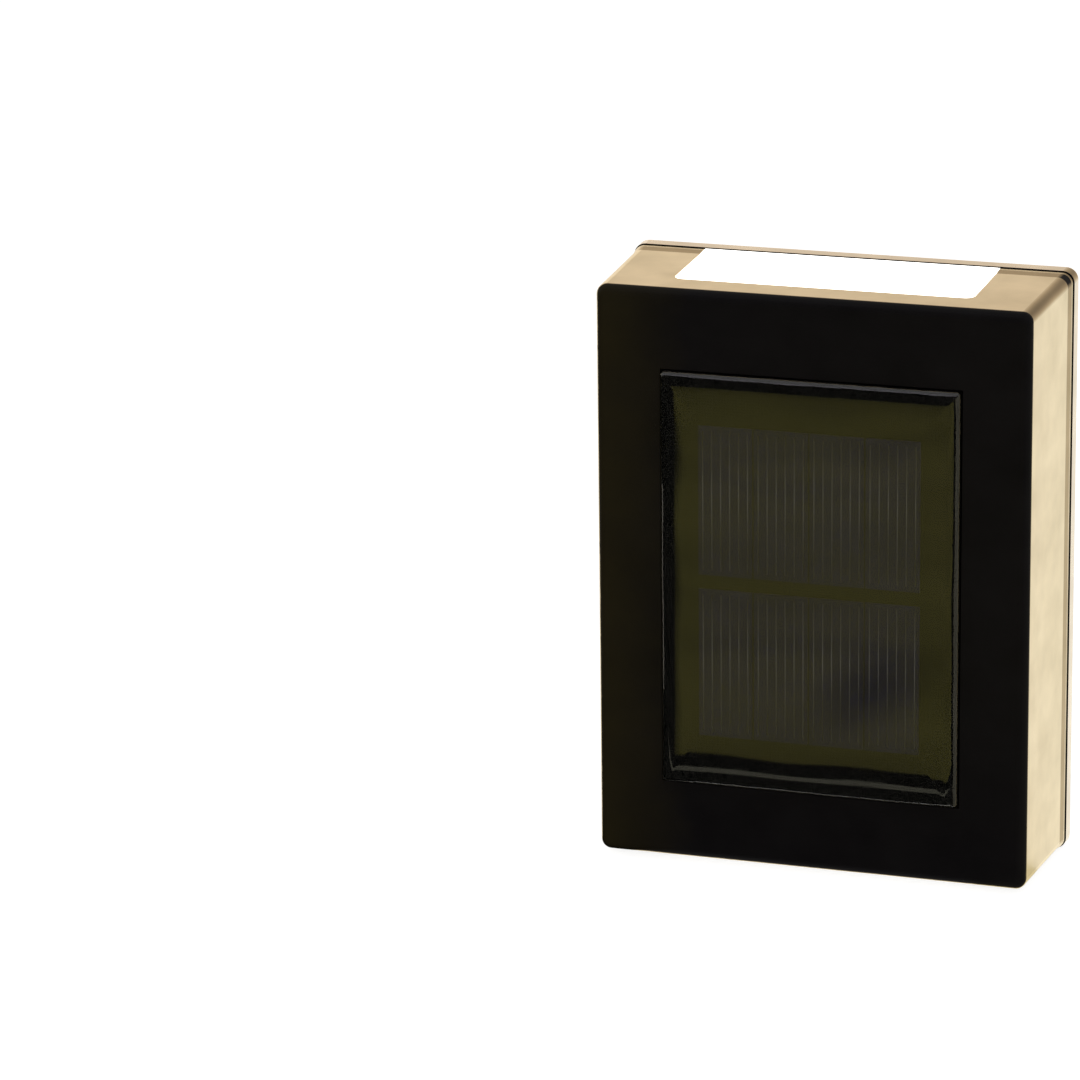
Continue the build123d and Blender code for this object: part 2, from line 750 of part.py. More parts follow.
battery_lead_x = battery_end + contact_thickness + 2 * lead_radius + lead_bend
battery_lead_z = board_z - post_z + post_radius + lead_post_gap
battery_run_depth = board_front + battery_lead_stand_off
with BuildPart() as battery_leads:
    for side in (-1, 1):
        add(
            lead(
                (side * (battery_end + contact_thickness), battery_depth, holder_z),
                (side * battery_lead_x, battery_depth, holder_z),
                (side * battery_lead_x, battery_run_depth, battery_lead_z),
                (side * part_spacing, battery_run_depth, battery_lead_z),
                (side * part_spacing, board_front, battery_lead_z),
            )
        )
finish(battery_leads.part, "battery_leads")

led_lead_end_x = board_width / 2 - post_inset_x
led_run_depth = board_front + led_lead_stand_off
upper_turn_z = board_top - post_inset_z
with BuildPart() as upper_led_leads:
    for side in (-1, 1):
        offset_x = side * lead_spacing / 2
        add(
            lead(
                (lead_port_x + offset_x, lead_port_depth, led_board_z),
                (lead_port_x + offset_x, lead_port_depth, tray_floor - rib - lead_bend),
                (led_lead_end_x + offset_x - post_inset_x, led_run_depth, upper_turn_z),
                (led_lead_end_x + offset_x - post_inset_x, board_front, upper_turn_z),
            )
        )
finish(upper_led_leads.part, "upper_led_leads")

lower_channel_z = (rib - tray_floor) + holder_drop / 2
riser_x = (holder_length + cavity_width) / 4
with BuildPart() as lower_led_leads:
    for side in (-1, 1):
        offset = side * lead_spacing / 2
        channel_z = lower_channel_z - side * (lead_radius + lead_gap / 2)
        end_z = board_z - 2 * post_inset_z + offset
        add(
            lead(
                (lead_port_x + offset, lead_port_depth, -led_board_z),
                (lead_port_x + offset, lead_port_depth, channel_z),
                (riser_x + offset, lead_port_depth, channel_z),
                (riser_x + offset, led_run_depth, end_z),
                (led_lead_end_x, led_run_depth, end_z),
                (led_lead_end_x, board_front, end_z),
            )
        )
finish(lower_led_leads.part, "lower_led_leads")
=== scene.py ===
"""Looks and stage for a solar fence light.

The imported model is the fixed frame. Each operator dresses one group of its pieces, or makes the
pieces that stand for it. The stage operator adds the floor, the surround, the lamp, the cards that
reflections see, and the camera.
"""

import json
from math import pi, radians

import bpy
import numpy as np
from mathutils import Matrix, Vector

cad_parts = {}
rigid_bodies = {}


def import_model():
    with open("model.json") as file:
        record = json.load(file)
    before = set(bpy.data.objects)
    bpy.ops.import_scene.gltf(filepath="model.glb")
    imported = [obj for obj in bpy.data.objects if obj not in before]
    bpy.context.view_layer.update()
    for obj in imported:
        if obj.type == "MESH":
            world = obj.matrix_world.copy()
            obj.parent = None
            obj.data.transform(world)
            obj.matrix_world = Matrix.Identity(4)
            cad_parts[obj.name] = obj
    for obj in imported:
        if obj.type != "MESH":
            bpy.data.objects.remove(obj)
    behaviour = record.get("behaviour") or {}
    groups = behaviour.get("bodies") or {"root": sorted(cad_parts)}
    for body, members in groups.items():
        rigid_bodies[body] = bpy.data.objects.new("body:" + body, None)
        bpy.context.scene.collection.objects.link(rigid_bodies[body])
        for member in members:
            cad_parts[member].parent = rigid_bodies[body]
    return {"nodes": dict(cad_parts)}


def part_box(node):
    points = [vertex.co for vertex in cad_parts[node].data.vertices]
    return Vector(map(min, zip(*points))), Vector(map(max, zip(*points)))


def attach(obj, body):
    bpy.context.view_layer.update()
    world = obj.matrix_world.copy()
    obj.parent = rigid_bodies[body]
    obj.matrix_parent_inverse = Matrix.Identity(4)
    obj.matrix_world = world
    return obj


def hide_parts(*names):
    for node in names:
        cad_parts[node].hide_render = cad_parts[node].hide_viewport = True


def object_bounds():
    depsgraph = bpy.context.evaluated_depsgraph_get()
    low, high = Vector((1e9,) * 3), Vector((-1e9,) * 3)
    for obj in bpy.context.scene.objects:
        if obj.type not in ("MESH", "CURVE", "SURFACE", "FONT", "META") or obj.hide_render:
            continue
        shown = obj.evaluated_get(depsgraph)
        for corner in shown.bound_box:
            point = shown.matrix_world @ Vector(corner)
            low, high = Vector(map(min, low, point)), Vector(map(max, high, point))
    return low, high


bl_info = {
    "name": "Fence Light",
    "version": (1, 0, 0),
    "blender": (4, 5, 0),
    "location": "View3D > Sidebar > Fence Light",
    "description": "Dresses a solar fence light and sets its stage",
    "category": "Object",
}

for leftover in list(bpy.data.objects):
    bpy.data.objects.remove(leftover)
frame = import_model()
cad_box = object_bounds()

MM = 0.001
LED_PITCH = 12 * MM
HALF_WINDOW = 28 * MM  # the windows reach this far to each side
HALF_PANEL = 27.7 * MM
PANEL_FRONT = -33 * MM  # just in front of the casting
CELL_COLUMNS = 4
CELL_ROWS = 2
BATTERY_BAND = 18 * MM  # where the plain band of the battery's sleeve starts


# ---- Materials ---------------------------------------------------------------------------------
class Signal:
    """A number on a node's output. Arithmetic on it adds Math nodes."""

    def __init__(self, finish, socket):
        self.finish = finish
        self.socket = socket

    def math(self, operation, first, second=0.0, clamp=False):
        return self.finish.node(
            "Math", {"operation": operation, "use_clamp": clamp}, {0: first, 1: second}
        )

    def __add__(self, other):
        return self.math("ADD", self, other)

    def __radd__(self, other):
        return self.math("ADD", other, self)

    def __sub__(self, other):
        return self.math("SUBTRACT", self, other)

    def __rsub__(self, other):
        return self.math("SUBTRACT", other, self)

    def __mul__(self, other):
        return self.math("MULTIPLY", self, other)

    def __rmul__(self, other):
        return self.math("MULTIPLY", other, self)

    def __truediv__(self, other):
        return self.math("DIVIDE", self, other)

    def __pow__(self, other):
        return self.math("POWER", self, other)

    def clamped(self):
        return self.math("ADD", self, 0.0, clamp=True)


class Finish:
    """One material or world under construction. Every node comes from node()."""

    def __init__(self, name, library="materials"):
        self.made = getattr(bpy.data, library).new(name)
        self.made.use_nodes = True
        self.tree = self.made.node_tree
        self.tree.nodes.clear()

    def node(self, kind, settings=None, sockets=None, output=0):
        """Add a node, set what it is, then the values or links of its sockets."""
        made = self.tree.nodes.new("ShaderNode" + kind)
        for key, value in (settings or {}).items():
            setattr(made, key, value)
        for key, value in (sockets or {}).items():
            if isinstance(value, Signal):
                self.tree.links.new(value.socket, made.inputs[key])
            else:
                made.inputs[key].default_value = value
        return Signal(self, made.outputs[output]) if made.outputs else None

    def place(self):
        """Where a point is on the object, in metres."""
        return self.node("TexCoord", output="Object")

    def stretched(self, scale, place=None):
        """The place with each axis multiplied by its own number."""
        return self.node(
            "VectorMath", {"operation": "MULTIPLY"}, {0: place or self.place(), 1: scale}
        )

    def axis(self, name):
        """One coordinate of the place, in metres."""
        return self.node("SeparateXYZ", sockets={0: self.place()}, output=name)

    def noise(self, size, detail=3.0, place=None):
        """Soft noise between 0 and 1, with features about as large as size in metres."""
        return self.node(
            "TexNoise",
            sockets={"Vector": place or self.place(), "Scale": 1 / size, "Detail": detail},
        )

    def spread(self, signal, low, high):
        """Stretch the part of a signal between low and high to 0 and 1."""
        return self.node(
            "MapRange", {"clamp": True}, {"Value": signal, "From Min": low, "From Max": high}
        )

    def mix(self, factor, first, second):
        """A colour between two colours."""
        return self.node(
            "Mix", {"data_type": "RGBA"}, {0: factor, 6: first, 7: second}, output=2
        )

    def bump(self, height, depth):
        """Normal of a relief whose height signal of 1 is depth metres."""
        return self.node("Bump", sockets={"Height": height, "Distance": depth})

    def shader(self, **sockets):
        """A Principled shader; keywords name its sockets, with underscores for spaces."""
        return self.node(
            "BsdfPrincipled",
            sockets={key.replace("_", " "): value for key, value in sockets.items()},
        )

    def facing(self):
        """0 where the surface is met head on, 1 where it is met edge on."""
        return self.node("LayerWeight", sockets={"Blend": 0.5}, output="Facing")

    def seen(self, *kinds):
        """1 for rays of the named kinds, 0 for all others."""
        rays = [self.node("LightPath", output=f"Is {kind} Ray") for kind in kinds]
        return sum(rays[1:], rays[0]).clamped()

    def done(self, surface, output="OutputMaterial"):
        """Join the shader to the output and return the material or world."""
        self.node(output, sockets={"Surface": surface})
        return self.made


def rgb(colour, share=1.0):
    """A colour as a colour socket takes it, or a share of it."""
    return (*(part * share for part in colour), 1.0)


def dress(material, *names):
    """Give CAD nodes one material."""
    for name in names:
        for holder in frame["nodes"][name].material_slots:
            holder.material = material


# ---- Surfaces ----------------------------------------------------------------------------------
def make_piece(name, points, faces, material, body):
    """Put a surface into a mesh of its own and let it ride on a CAD body."""
    mesh = bpy.data.meshes.new(name)
    mesh.from_pydata(points.reshape(-1, 3).tolist(), [], faces)
    mesh.validate()
    mesh.update()
    mesh.polygons.foreach_set("use_smooth", np.full(len(mesh.polygons), True))
    mesh.materials.append(material)
    piece = bpy.data.objects.new(name, mesh)
    bpy.context.scene.collection.objects.link(piece)
    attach(piece, body)
    return piece


def ring_faces(rings, around):
    """Quads between rings of points that run anticlockwise outwards, with a polygon at each end."""
    ring = np.arange(rings - 1)[:, None] * around
    here = np.arange(around)[None, :]
    onward = (here + 1) % around
    quads = np.stack([ring + around + here, ring + around + onward, ring + onward, ring + here], -1)
    first = np.arange(around)
    last = rings * around - 1 - np.arange(around)
    return quads.reshape(-1, 4).tolist() + [first.tolist(), last.tolist()]


def rounded_outline(corner_points, side_points):
    """Arrays that trace a rounded rectangle once, anticlockwise.

    A point of the outline is sign * (half size - radius) + radius * direction. Along a corner the
    sign stays and the direction turns by a quarter. Along a side the direction stays and the sign
    runs over.
    """
    turn = np.linspace(0, pi / 2, corner_points)
    run = np.linspace(0, 1, side_points + 2)[1:-1, None]
    signs = []
    directions = []
    corners = np.array([(1, 1), (-1, 1), (-1, -1), (1, -1)], float)
    for quarter, corner in enumerate(corners):
        angle = turn + quarter * pi / 2
        direction = np.stack([np.cos(angle), np.sin(angle)], -1)
        following = corners[(quarter + 1) % 4]
        signs += [np.repeat(corner[None], corner_points, 0), corner + run * (following - corner)]
        directions += [direction, np.repeat(direction[-1:], side_points, 0)]
    return np.concatenate(signs), np.concatenate(directions)


# ---- Settings ----------------------------------------------------------------------------------
def length(name, description, millimetres):
    """A length property."""
    return bpy.props.FloatProperty(
        name=name, description=description, default=millimetres * MM, unit="LENGTH", precision=5
    )


def colour(name, description, default):
    """A colour property."""
    return bpy.props.FloatVectorProperty(
        name=name, description=description, default=default, subtype="COLOR", size=3, min=0, max=1
    )


def amount(name, description, default, subtype="NONE"):
    """A plain number property."""
    return bpy.props.FloatProperty(
        name=name, description=description, default=default, subtype=subtype
    )


class FenceLightPanelSizes(bpy.types.PropertyGroup):
    """Sizes of the solar panel's casting and grid."""

    roll_width: length("Roll width", "Width of the casting's rolled edge", 2.4)
    roll_height: length("Roll height", "Height of the casting's rolled edge", 1.5)
    crown: length("Crown", "How far the middle of the casting stands over its edge", 0.12)
    ripple: length("Ripple", "Height of the casting's slow waves", 0.006)
    edge_wander: length("Edge wander", "How far the casting's edge strays from straight", 0.05)
    corner: length("Corner", "Corner radius of the casting", 0.9)
    finger_width: length("Finger width", "Width of the printed grid lines", 0.2)
    finger_height: length("Finger height", "Height of the printed grid lines", 0.03)
    finger_margin: length("Finger margin", "Grid line's end to the cell's edge", 1.0)
    cell_gap: length("Cell gap", "Gap between neighbouring cells", 0.3)
    row_gap: length("Row gap", "Gap between the two rows of cells", 2.6)
    fingers: bpy.props.IntProperty(
        name="Fingers", description="Grid lines on each cell", default=6, min=1
    )


class FenceLightColours(bpy.types.PropertyGroup):
    """Colours of the finishes."""

    plastic: colour("Plastic", "Black of the housing", (0.0033, 0.0030, 0.0034))
    plastic_worn: colour("Plastic, worn", "Paler places of the housing", (0.0060, 0.0054, 0.0058))
    # The sheens are painted reflection: the warm light that the black housing and cover show at a
    # slant.
    sheen: colour("Sheen", "What the housing mirrors at a slant", (1.0, 0.84, 0.52))
    sheen_deep: colour("Deep sheen", "The same where it is less slanted", (0.88, 0.66, 0.34))
    cover_sheen: colour("Cover sheen", "What the cover mirrors at a slant", (1.0, 0.88, 0.68))
    # This colour: the housing and cover turn paler and yellower towards their -X side.
    side_tone: colour("Side tone", "Paler, yellower tone towards the -X side of the housing", (0.0145, 0.0116, 0.0045))
    glow: colour("Glow", "Light of the windows", (1.0, 0.97, 0.92))
    board: colour("Panel board", "Backing of the solar cells", (0.0007, 0.0007, 0.0004))
    cell: colour("Cell", "Silicon of the solar cells", (0.0014, 0.0012, 0.0120))
    grid: colour("Grid", "Printed grid lines", (0.021, 0.021, 0.029))
    resin: colour("Resin", "Clear casting", (0.97, 0.97, 0.93))


class FenceLightStage(bpy.types.PropertyGroup):
    """Camera, floor, cards and lamp."""

    camera_place: bpy.props.FloatVectorProperty(
        name="Camera place",
        description="Where the camera stands",
        default=(0.25767, -0.94364, 0.29274),
        subtype="TRANSLATION",
    )
    camera_turn: bpy.props.FloatVectorProperty(
        name="Camera turn",
        description="How the camera is turned",
        default=(radians(73.3699), radians(0.7172), radians(18.4686)),
        subtype="EULER",
    )
    lens: amount("Lens", "Focal length in millimetres", 184.257)
    floor: colour("Floor", "Colour of the floor", (0.50, 0.50, 0.50))
    floor_glow: amount("Floor glow", "How much of the floor's white is its own", 0.85)
    mirrored_glow: amount("Mirrored glow", "The same where the floor is mirrored", 0.72)
    card_tone: colour("Card tone", "Light of the card that the panel mirrors", (0.66, 0.60, 0.15))
    ambient: amount("Ambient", "Strength of the light from all round", 0.40)
    lamp_power: amount("Lamp power", "Power of the large lamp", 9.0, "POWER")


# ---- Housing and cover -------------------------------------------------------------------------
def satin_plastic(name, dark, worn, side_tone, deep, sheen, roughness, strength):
    """Moulded black plastic with a spark-eroded texture and a painted reflection at a slant.

    The painted reflection is a warm metal lobe, deeper in colour where the surface is less slanted,
    which sets in where the surface is met at a slant and mirrors far more than black plastic does.
    It varies with slow mottling. The base colour turns paler and yellower towards the -X side of the
    face.
    """
    finish = Finish(name)
    # Paler, yellower base colour towards the -X side of the face, with a noisy edge.
    side_blend = finish.spread(0.0 - finish.axis("X") + 9 * MM * finish.noise(7 * MM), 27 * MM, 48 * MM)
    mottle = finish.spread(finish.noise(9 * MM, 4.0), 0.3, 0.7)
    smear = finish.noise(1.0, 2.0, finish.stretched((45.0, 45.0, 160.0)))
    grain = finish.noise(0.35 * MM, 2.0)
    relief = finish.bump(grain, 0.006 * MM)
    patch = (mottle + smear) * 0.5
    body = finish.shader(
        Base_Color=finish.mix(side_blend, finish.mix(patch, rgb(dark), rgb(worn)), rgb(side_tone)),
        Roughness=roughness + 0.10 * patch,
        Specular_IOR_Level=0.04,
        Normal=relief,
    )
    # Painted reflection: a warm metal lobe for light mirrored at a slant, deeper in colour where
    # less slanted; with a strength above 1 its share mirrors far more than black plastic does.
    gloss = finish.shader(
        Base_Color=finish.mix(finish.spread(finish.facing(), 0.68, 0.76), rgb(deep), rgb(sheen)),
        Metallic=1.0,
        Roughness=roughness - 0.10 + 0.08 * patch,
        Normal=relief,
    )
    share = (finish.spread(finish.facing(), 0.58, 0.79) * (strength - 0.35 * patch)).clamped()
    return finish.done(finish.node("MixShader", sockets={0: share, 1: body, 2: gloss}))


def soft_rubber(name, tone):
    """Dull rubber with a faint bloom."""
    finish = Finish(name)
    bloom = finish.spread(finish.noise(3 * MM), 0.35, 0.75)
    return finish.done(
        finish.shader(
            Base_Color=finish.mix(bloom, rgb((tone, tone, tone)), rgb((1.8, 1.8, 1.7), tone)),
            Roughness=0.62 + 0.15 * bloom,
            Normal=finish.bump(finish.noise(0.2 * MM), 0.01 * MM),
        )
    )


def brushed_steel(name, tone, size):
    """Plated steel with fine turned marks and slow tarnish."""
    finish = Finish(name)
    tarnish = finish.spread(finish.noise(size * 4), 0.35, 0.7)
    marks = finish.noise(1.0, 2.0, finish.stretched((900.0, 12000.0, 900.0)))
    bright = rgb((1.0, 1.0, 0.98), tone)
    dull = rgb((0.7, 0.67, 0.62), tone)
    return finish.done(
        finish.shader(
            Base_Color=finish.mix(tarnish, bright, dull),
            Metallic=1.0,
            Roughness=0.24 + 0.16 * tarnish + 0.08 * marks,
            Normal=finish.bump(marks, 0.004 * MM),
        )
    )


class FENCELIGHT_OT_shell(bpy.types.Operator):
    """Dress the housing, the rear cover, its seal and its screws"""

    bl_idname = "fencelight.shell"
    bl_label = "Dress the shell"

    def execute(self, context):
        tones = context.scene.fence_light_colours
        body = tones.plastic, tones.plastic_worn, tones.side_tone, tones.sheen_deep
        housing = satin_plastic("housing satin black", *body, tones.sheen, 0.36, 1.20)
        cover = satin_plastic("cover satin black", *body, tones.cover_sheen, 0.34, 1.23)
        dress(housing, "front_housing")
        dress(cover, "rear_cover")
        dress(soft_rubber("seal rubber", 0.03), "cover_seal", "upper_lens_seal", "lower_lens_seal")
        dress(brushed_steel("screw steel", 0.55, 1 * MM), "cover_screws", "board_screws")
        return {"FINISHED"}


# ---- Windows -----------------------------------------------------------------------------------
def glowing_lens(name, glow):
    """Opal plastic lit from behind: soft pools of light over the LEDs, dimmer at the ends."""
    finish = Finish(name)
    across = finish.axis("X")
    between = finish.node("Math", {"operation": "COSINE"}, {0: across * (2 * pi / LED_PITCH)})
    ends = (across / HALF_WINDOW) ** 2.0
    level = 1.08 - 0.10 * ends - 0.015 * between
    haze = finish.noise(0.4 * MM)
    return finish.done(
        finish.shader(
            Base_Color=finish.mix(haze, (0.86, 0.86, 0.84, 1), (0.90, 0.90, 0.88, 1)),
            Roughness=0.35 + 0.1 * haze,
            Emission_Color=finish.mix(level.clamped(), (0.8, 0.74, 0.62, 1), rgb(glow)),
            Emission_Strength=2.5,
            Normal=finish.bump(haze, 0.004 * MM),
        )
    )


def white_plastic(name, tone):
    """Matt white moulded plastic, slightly yellowed in places."""
    finish = Finish(name)
    age = finish.spread(finish.noise(8 * MM), 0.3, 0.7)
    grain = finish.noise(0.25 * MM)
    return finish.done(
        finish.shader(
            Base_Color=finish.mix(age, rgb((1.0, 1.0, 1.0), tone), rgb((1.0, 0.97, 0.9), tone)),
            Roughness=0.45 + 0.1 * grain,
            Normal=finish.bump(grain, 0.006 * MM),
        )
    )


def printed_board(name, base, traces, pitch):
    """Circuit board: solder mask over copper lines that show as a change of colour and height."""
    finish = Finish(name)
    lines = finish.node(
        "TexBrick",
        sockets={
            "Vector": finish.node(
                "CombineXYZ", sockets={0: finish.axis("X"), 1: finish.axis("Z") + finish.axis("Y")}
            ),
            "Color1": (0, 0, 0, 1),
            "Color2": (0.25, 0.25, 0.25, 1),
            "Mortar": (1, 1, 1, 1),
            "Scale": 1.0,
            "Mortar Size": pitch * 0.12,
            "Brick Width": pitch * 3.1,
            "Row Height": pitch,
        },
    )
    tint = finish.spread(finish.noise(2 * MM), 0.3, 0.7)
    mask = finish.mix(tint, rgb(base), rgb(base, 0.8))
    return finish.done(
        finish.shader(
            Base_Color=finish.mix(lines, mask, rgb(traces)),
            Roughness=0.32 + 0.12 * tint,
            Normal=finish.bump(lines, 0.035 * MM),
        )
    )


def phosphor(name, glow):
    """LED package: yellow phosphor window in a white frame, lit."""
    finish = Finish(name)
    grain = finish.noise(0.12 * MM)
    return finish.done(
        finish.shader(
            Base_Color=finish.mix(grain, (0.85, 0.66, 0.12, 1), (0.92, 0.78, 0.25, 1)),
            Roughness=0.5 + 0.1 * grain,
            Emission_Color=rgb(glow),
            Emission_Strength=2.0,
            Normal=finish.bump(grain, 0.01 * MM),
        )
    )


class FENCELIGHT_OT_windows(bpy.types.Operator):
    """Dress the two windows, their light boxes, boards and LEDs"""

    bl_idname = "fencelight.windows"
    bl_label = "Dress the windows"

    def execute(self, context):
        tones = context.scene.fence_light_colours
        dress(glowing_lens("opal lens", tones.glow), "upper_lens", "lower_lens")
        dress(white_plastic("tray white", 0.82), "upper_light_tray", "lower_light_tray")
        white, copper = (0.75, 0.75, 0.73), (0.62, 0.60, 0.52)
        led_board = printed_board("white LED board", white, copper, 2.4 * MM)
        dress(led_board, "upper_led_board", "lower_led_board")
        dress(phosphor("LED phosphor", tones.glow), "upper_leds", "lower_leds")
        return {"FINISHED"}


# ---- Solar panel -------------------------------------------------------------------------------
def casting_surface(sizes, low, high):
    """The clear casting: rounded-rectangle rings from the middle of its face to its back.

    From the middle, each ring is the outline at the roll's inner edge, scaled up. Its height falls
    from the crown with the square of that scale. Over the roll, the inset and height follow a
    quarter of an ellipse. The wall then drops to the back, whose rings are scaled down to the
    middle again. Slow sine waves along x and z are added to the face, and sine waves round the
    outline to the inset.
    """
    signs, directions = rounded_outline(9, 28)
    clearance = 0.02 * MM
    least_radius = 0.25 * MM
    sunk = 0.05 * MM
    face_rings = 40
    roll_rings = 22
    back_scales = np.array([1.0, 0.5, 0.01])
    half = (high - low)[[0, 2]] / 2 - clearance
    scale = np.linspace(0.004, 1, face_rings)[:, None]
    angle = np.linspace(0, pi / 2, roll_rings)[1:, None]
    around = np.linspace(0, 2 * pi, len(signs), endpoint=False)[None, :]
    wander = np.sin(7 * around) + 0.6 * np.sin(19 * around + 1.0) + 0.4 * np.sin(43 * around + 2.0)

    def ring(inset):
        """Outline points at an inset that may change round the outline."""
        room = half - inset[..., None]
        radius = np.maximum(sizes.corner - inset, least_radius)[..., None]
        return signs * (room - radius) + radius * directions

    inner = ring(np.full_like(around, sizes.roll_width))
    face = inner * scale[..., None]
    roll_inset = sizes.roll_width * (1 - np.sin(angle))
    sway = sizes.edge_wander * wander * np.sin(2 * angle)
    roll = ring(np.maximum(roll_inset + sway, 0.0))
    rim = ring(np.zeros_like(around))
    back = rim * back_scales[:, None, None]
    plan = np.concatenate([face, roll, back])

    top = -low[1]
    brow = top - sizes.crown
    floor = -high[1] - sunk
    face_depth = brow + sizes.crown * (1 - scale**2) + 0 * around
    roll_depth = brow - sizes.roll_height * (1 - np.cos(angle)) + 0 * around
    back_depth = np.full((len(back_scales), len(signs)), floor)
    depth = np.concatenate([face_depth, roll_depth, back_depth])
    x, z = plan[..., 0], plan[..., 1]
    waves = (
        np.sin(x / (5.1 * MM) + 0.4)
        + np.sin(z / (7.3 * MM) + 1.1)
        + np.sin((x + z) / (3.9 * MM))
        + np.sin((x - 2 * z) / (9.7 * MM))
    )
    flat = np.zeros((len(back_scales), 1))
    fade = np.concatenate([np.ones((face_rings, 1)), np.cos(angle), flat])
    depth = np.minimum(depth + sizes.ripple * waves * fade, top)
    middle = (high + low)[[0, 2]] / 2
    points = np.stack([x + middle[0], -depth, z + middle[1]], -1)
    return points, ring_faces(points.shape[0], points.shape[1])


def finger_surface(sizes, low, high):
    """The printed grid: every line is a half ellipse carried up its cell, as one array of lines.

    Line k of a cell stands at (k + 1/2) / count of the cell's width, and its section is
    (width * cos, height * sin) over half a turn.
    """
    sunk = 0.01 * MM
    arc = 7
    width = (high[0] - low[0] - (CELL_COLUMNS - 1) * sizes.cell_gap) / CELL_COLUMNS
    tall = (high[2] - low[2] - (CELL_ROWS - 1) * sizes.row_gap) / CELL_ROWS
    across = (np.arange(sizes.fingers) + 0.5) / sizes.fingers * width
    x = low[0] + np.arange(CELL_COLUMNS)[:, None] * (width + sizes.cell_gap) + across[None, :]
    bottom = low[2] + np.arange(CELL_ROWS) * (tall + sizes.row_gap)
    ends = np.array([sizes.finger_margin, tall - sizes.finger_margin])
    turn = np.linspace(0, pi, arc)
    section_x = sizes.finger_width / 2 * np.cos(turn)
    section_y = -sizes.finger_height * np.sin(turn)
    grid = np.zeros((CELL_ROWS, CELL_COLUMNS * sizes.fingers, 2, arc, 3))
    grid[..., 0] = x.reshape(1, -1, 1, 1) + section_x
    grid[..., 1] = low[1] + sunk + section_y
    grid[..., 2] = bottom.reshape(-1, 1, 1, 1) + ends.reshape(1, 1, 2, 1)
    lines = CELL_ROWS * CELL_COLUMNS * sizes.fingers
    start = np.arange(lines)[:, None, None] * 2 * arc
    here = np.arange(arc)[None, :, None]
    onward = (here + 1) % arc
    quads = start + np.concatenate([here + arc, onward + arc, onward, here], -1)
    near_cap = start[:, 0] + np.arange(arc)
    far_cap = start[:, 0] + 2 * arc - 1 - np.arange(arc)
    return grid, quads.reshape(-1, 4).tolist() + near_cap.tolist() + far_cap.tolist()


def clear_resin(name, tint, wall):
    """Clear resin, smooth as it was cast. Behind the depth wall its side is blackened."""
    finish = Finish(name)
    haze = finish.spread(finish.noise(9 * MM), 0.35, 0.75)
    clear = finish.shader(
        Base_Color=rgb(tint), Roughness=0.015 + 0.03 * haze, IOR=1.5, Transmission_Weight=1.0
    )
    black = finish.shader(
        Base_Color=(0.001, 0.001, 0.001, 1), Roughness=0.5 + 0.1 * haze, Specular_IOR_Level=0.0
    )
    share = finish.spread(finish.axis("Y"), wall - 0.2 * MM, wall)
    return finish.done(finish.node("MixShader", sockets={0: share, 1: clear, 2: black}))


def panel_backing(name, tone):
    """Dark olive board under the cells, with the weave of its glass cloth."""
    finish = Finish(name)
    threads = {"Vector": finish.place(), "Scale": 600.0, "Distortion": 1.0}
    warp = finish.node("TexWave", {"bands_direction": "X"}, threads)
    weft = finish.node("TexWave", {"bands_direction": "Z"}, threads)
    weave = warp * weft
    patch = finish.spread(finish.noise(11 * MM), 0.35, 0.7)
    return finish.done(
        finish.shader(
            Base_Color=finish.mix(patch, rgb(tone), rgb(tone, 1.5)),
            Roughness=0.5 + 0.1 * weave,
            Specular_IOR_Level=0.05,
            Normal=finish.bump(weave, 0.01 * MM),
        )
    )


def silicon(name, tone):
    """Cell surface: dark blue-purple with crystal patches."""
    finish = Finish(name)
    crystals = finish.node(
        "TexVoronoi", {"feature": "F1"}, {"Vector": finish.place(), "Scale": 260.0}, output="Color"
    )
    shade = finish.node("SeparateXYZ", sockets={0: crystals})
    drift = finish.spread(finish.noise(12 * MM), 0.3, 0.7)
    return finish.done(
        finish.shader(
            Base_Color=finish.mix(shade * 0.5 + drift * 0.5, rgb(tone), rgb(tone, 1.5)),
            Roughness=0.3 + 0.15 * shade,
            Specular_IOR_Level=0.05,
        )
    )


def silver_print(name, tone):
    """Printed silver lines under the resin, thinner on some lines and along stretches."""
    finish = Finish(name)
    grain = finish.spread(finish.noise(1.0, 2.0, finish.stretched((500.0, 0.0, 60.0))), 0.35, 0.65)
    return finish.done(
        finish.shader(
            Base_Color=finish.mix(grain, rgb(tone, 0.4), rgb(tone)),
            Roughness=0.45 + 0.1 * grain,
        )
    )


class FENCELIGHT_OT_panel(bpy.types.Operator):
    """Make the panel's casting and grid, and dress its board and cells"""

    bl_idname = "fencelight.panel"
    bl_label = "Make the solar panel"

    def execute(self, context):
        sizes = context.scene.fence_light_panel
        tones = context.scene.fence_light_colours
        low, high = (np.array(corner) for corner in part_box("panel_resin"))
        points, faces = casting_surface(sizes, low, high)
        wall = low[1] + sizes.crown + sizes.roll_height
        resin = clear_resin("cast resin", tones.resin, wall)
        casting = make_piece("panel_casting", points, faces, resin, "light")
        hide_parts("panel_resin")
        low, high = (np.array(corner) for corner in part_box("solar_cells"))
        points, faces = finger_surface(sizes, low, high)
        silver = silver_print("silver print", tones.grid)
        make_piece("cell_fingers", points, faces, silver, "light")
        dress(panel_backing("panel board olive", tones.board), "panel_board")
        dress(silicon("cell silicon", tones.cell), "solar_cells")
        dress(soft_rubber("panel adhesive", 0.05), "panel_adhesive")
        return {"FINISHED"}


# ---- Battery, board, switch and leads ----------------------------------------------------------
def sleeve(name, tone, band):
    """Shrink sleeve of the battery: glossy, with a plain band at one end and fine wrinkles."""
    finish = Finish(name)
    wrinkle = finish.noise(1.0, 3.0, finish.stretched((400.0, 2500.0, 2500.0)))
    at_end = finish.spread(finish.axis("X"), BATTERY_BAND - 0.1 * MM, BATTERY_BAND + 0.1 * MM)
    return finish.done(
        finish.shader(
            Base_Color=finish.mix(at_end, rgb(tone), rgb(band)),
            Roughness=0.22 + 0.12 * wrinkle,
            Normal=finish.bump(wrinkle, 0.03 * MM),
        )
    )


